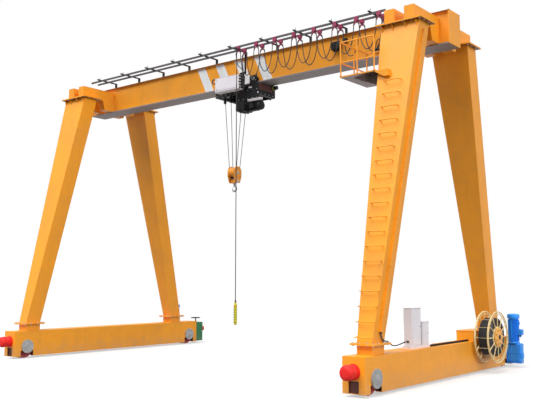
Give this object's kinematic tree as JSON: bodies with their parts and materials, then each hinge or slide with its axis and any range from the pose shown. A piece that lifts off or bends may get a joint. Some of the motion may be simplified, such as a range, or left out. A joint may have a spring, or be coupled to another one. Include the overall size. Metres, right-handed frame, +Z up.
{
  "type": "travelling gantry crane",
  "caption": "Yellow single-girder travelling gantry crane: tapered legs on wheeled ground beams, under-slung hoist trolley, festoon cables, ladder and cable reel.",
  "frame": {"origin": "floor level under the girder's centre line, midway between the two ground beams", "axes": "+X along the girder towards the end with the ladder and cable reel, +Y along the ground beams away from the festoon side, +Z up"},
  "size_m": [12.63, 7.95, 8.3629],
  "materials": {
    "crane_yellow": "gloss",
    "track_grey": "satin",
    "dark_steel": "satin",
    "wheel_red": "satin",
    "bearing_grey": "satin",
    "buffer_red": "satin",
    "drive_blue": "gloss",
    "clamp_green": "satin",
    "cabinet_grey": "satin",
    "cable_black": "matte",
    "rail_grey": "satin",
    "carrier_red": "satin",
    "reel_cream": "satin",
    "hub_orange": "satin",
    "rope_steel": "satin",
    "hook_steel": "satin",
    "hook_block_orange": "satin",
    "pendant_green": "matte"
  },
  "bodies": {
    "crane_frame": {"girder_box": "crane_yellow", "girder_track_flange": "track_grey", "leg_head_boxes": "crane_yellow", "legs_left": "crane_yellow", "legs_right": "crane_yellow", "leg_head_flanges": "crane_yellow", "leg_pedestals": "crane_yellow", "ground_beam_left": "crane_yellow", "ground_beam_right": "crane_yellow", "bearing_covers": "bearing_grey", "beam_buffers": "buffer_red", "travel_drives": "drive_blue", "rail_clamp": "clamp_green", "cabinet_frame": "dark_steel", "electric_cabinets": "cabinet_grey", "cabinet_lead": "cable_black", "leg_conduit": "crane_yellow", "reel_stand": "crane_yellow", "ladder_rungs": "crane_yellow", "platform_floor": "crane_yellow", "platform_railing": "crane_yellow", "festoon_rails": "rail_grey", "festoon_arms": "dark_steel", "junction_box": "dark_steel"},
    "trolley": {"trolley_frame": "dark_steel", "trolley_wheels": "dark_steel", "hoist_control_box": "cabinet_grey", "hoist_gearbox": "dark_steel", "hoist_motor": "dark_steel", "hoist_drum": "dark_steel", "hoist_ropes": "rope_steel", "festoon_tow_carrier": "carrier_red", "pendant_cable": "cable_black", "pendant": "pendant_green", "festoon_loop_1": "cable_black"},
    "carrier_1": {"festoon_carrier_1": "carrier_red", "festoon_loop_2": "cable_black"},
    "carrier_2": {"festoon_carrier_2": "carrier_red", "festoon_loop_3": "cable_black"},
    "carrier_3": {"festoon_carrier_3": "carrier_red", "festoon_loop_4": "cable_black"},
    "carrier_4": {"festoon_carrier_4": "carrier_red", "festoon_loop_5": "cable_black"},
    "carrier_5": {"festoon_carrier_5": "carrier_red", "festoon_loop_6": "cable_black"},
    "carrier_6": {"festoon_carrier_6": "carrier_red", "festoon_loop_7": "cable_black"},
    "end_clamp": {"festoon_end_clamp": "carrier_red"},
    "hook_block": {"hook_block": "hook_block_orange", "hook_block_sheaves": "dark_steel"},
    "hook": {"hook": "hook_steel"},
    "wheel_near_left": {"wheel_near_left": "wheel_red"},
    "wheel_near_right": {"wheel_near_right": "wheel_red"},
    "wheel_far_left": {"wheel_far_left": "wheel_red"},
    "wheel_far_right": {"wheel_far_right": "wheel_red"},
    "reel": {"reel_frame": "reel_cream", "reel_cable_coil": "cable_black", "reel_hub_disc": "hub_orange"},
    "handwheel": {"clamp_handwheel": "dark_steel"}
  },
  "joints": [
    {"name": "trolley_travel", "type": "slide", "parent": "crane_frame", "child": "trolley", "axis": [1, 0, 0], "range_m": [-4, 2.2]},
    {"name": "festoon_gap_1", "type": "slide", "parent": "trolley", "child": "carrier_1", "axis": [1, 0, 0], "range_m": [-0.3163, 0.5734], "deforming": ["festoon_loop_1"]},
    {"name": "festoon_gap_2", "type": "slide", "parent": "carrier_1", "child": "carrier_2", "axis": [1, 0, 0], "range_m": [-0.3163, 0.5734], "deforming": ["festoon_loop_2"]},
    {"name": "festoon_gap_3", "type": "slide", "parent": "carrier_2", "child": "carrier_3", "axis": [1, 0, 0], "range_m": [-0.3163, 0.5734], "deforming": ["festoon_loop_3"]},
    {"name": "festoon_gap_4", "type": "slide", "parent": "carrier_3", "child": "carrier_4", "axis": [1, 0, 0], "range_m": [-0.3163, 0.5734], "deforming": ["festoon_loop_4"]},
    {"name": "festoon_gap_5", "type": "slide", "parent": "carrier_4", "child": "carrier_5", "axis": [1, 0, 0], "range_m": [-0.3163, 0.5734], "deforming": ["festoon_loop_5"]},
    {"name": "festoon_gap_6", "type": "slide", "parent": "carrier_5", "child": "carrier_6", "axis": [1, 0, 0], "range_m": [-0.3163, 0.5734], "deforming": ["festoon_loop_6"]},
    {"name": "festoon_gap_7", "type": "slide", "parent": "carrier_6", "child": "end_clamp", "axis": [1, 0, 0], "range_m": [-0.3163, 0.5734], "deforming": ["festoon_loop_7"]},
    {"name": "hook_lift", "type": "slide", "parent": "trolley", "child": "hook_block", "axis": [0, 0, 1], "range_m": [-4.3, 1.3], "deforming": ["hoist_ropes"]},
    {"name": "hook_swivel", "type": "hinge", "parent": "hook_block", "child": "hook", "pos_m": [-0.354, 0, 4.82], "axis": [0, 0, 1], "continuous": true},
    {"name": "reel_spin", "type": "hinge", "parent": "crane_frame", "child": "reel", "pos_m": [6.1, 1.81, 0.84], "axis": [1, 0, 0], "continuous": true},
    {"name": "clamp_screw_turn", "type": "hinge", "parent": "crane_frame", "child": "handwheel", "pos_m": [-5.63, 3.91, 0.85], "axis": [0, 0, 1], "continuous": true},
    {"name": "wheel_near_left_spin", "type": "hinge", "parent": "crane_frame", "child": "wheel_near_left", "pos_m": [-5.63, -2.98, 0.33], "axis": [1, 0, 0], "continuous": true},
    {"name": "wheel_near_right_spin", "type": "hinge", "parent": "crane_frame", "child": "wheel_near_right", "pos_m": [5.63, -2.98, 0.33], "axis": [1, 0, 0], "continuous": true},
    {"name": "wheel_far_left_spin", "type": "hinge", "parent": "crane_frame", "child": "wheel_far_left", "pos_m": [-5.63, 3.34, 0.33], "axis": [1, 0, 0], "continuous": true},
    {"name": "wheel_far_right_spin", "type": "hinge", "parent": "crane_frame", "child": "wheel_far_right", "pos_m": [5.63, 3.34, 0.33], "axis": [1, 0, 0], "continuous": true}
  ],
  "couplings": [
    {"joint": "festoon_gap_1", "follows": "trolley_travel", "ratio": -0.14286},
    {"joint": "festoon_gap_2", "follows": "trolley_travel", "ratio": -0.14286},
    {"joint": "festoon_gap_3", "follows": "trolley_travel", "ratio": -0.14286},
    {"joint": "festoon_gap_4", "follows": "trolley_travel", "ratio": -0.14286},
    {"joint": "festoon_gap_5", "follows": "trolley_travel", "ratio": -0.14286},
    {"joint": "festoon_gap_6", "follows": "trolley_travel", "ratio": -0.14286},
    {"joint": "festoon_gap_7", "follows": "trolley_travel", "ratio": -0.14286}
  ]
}
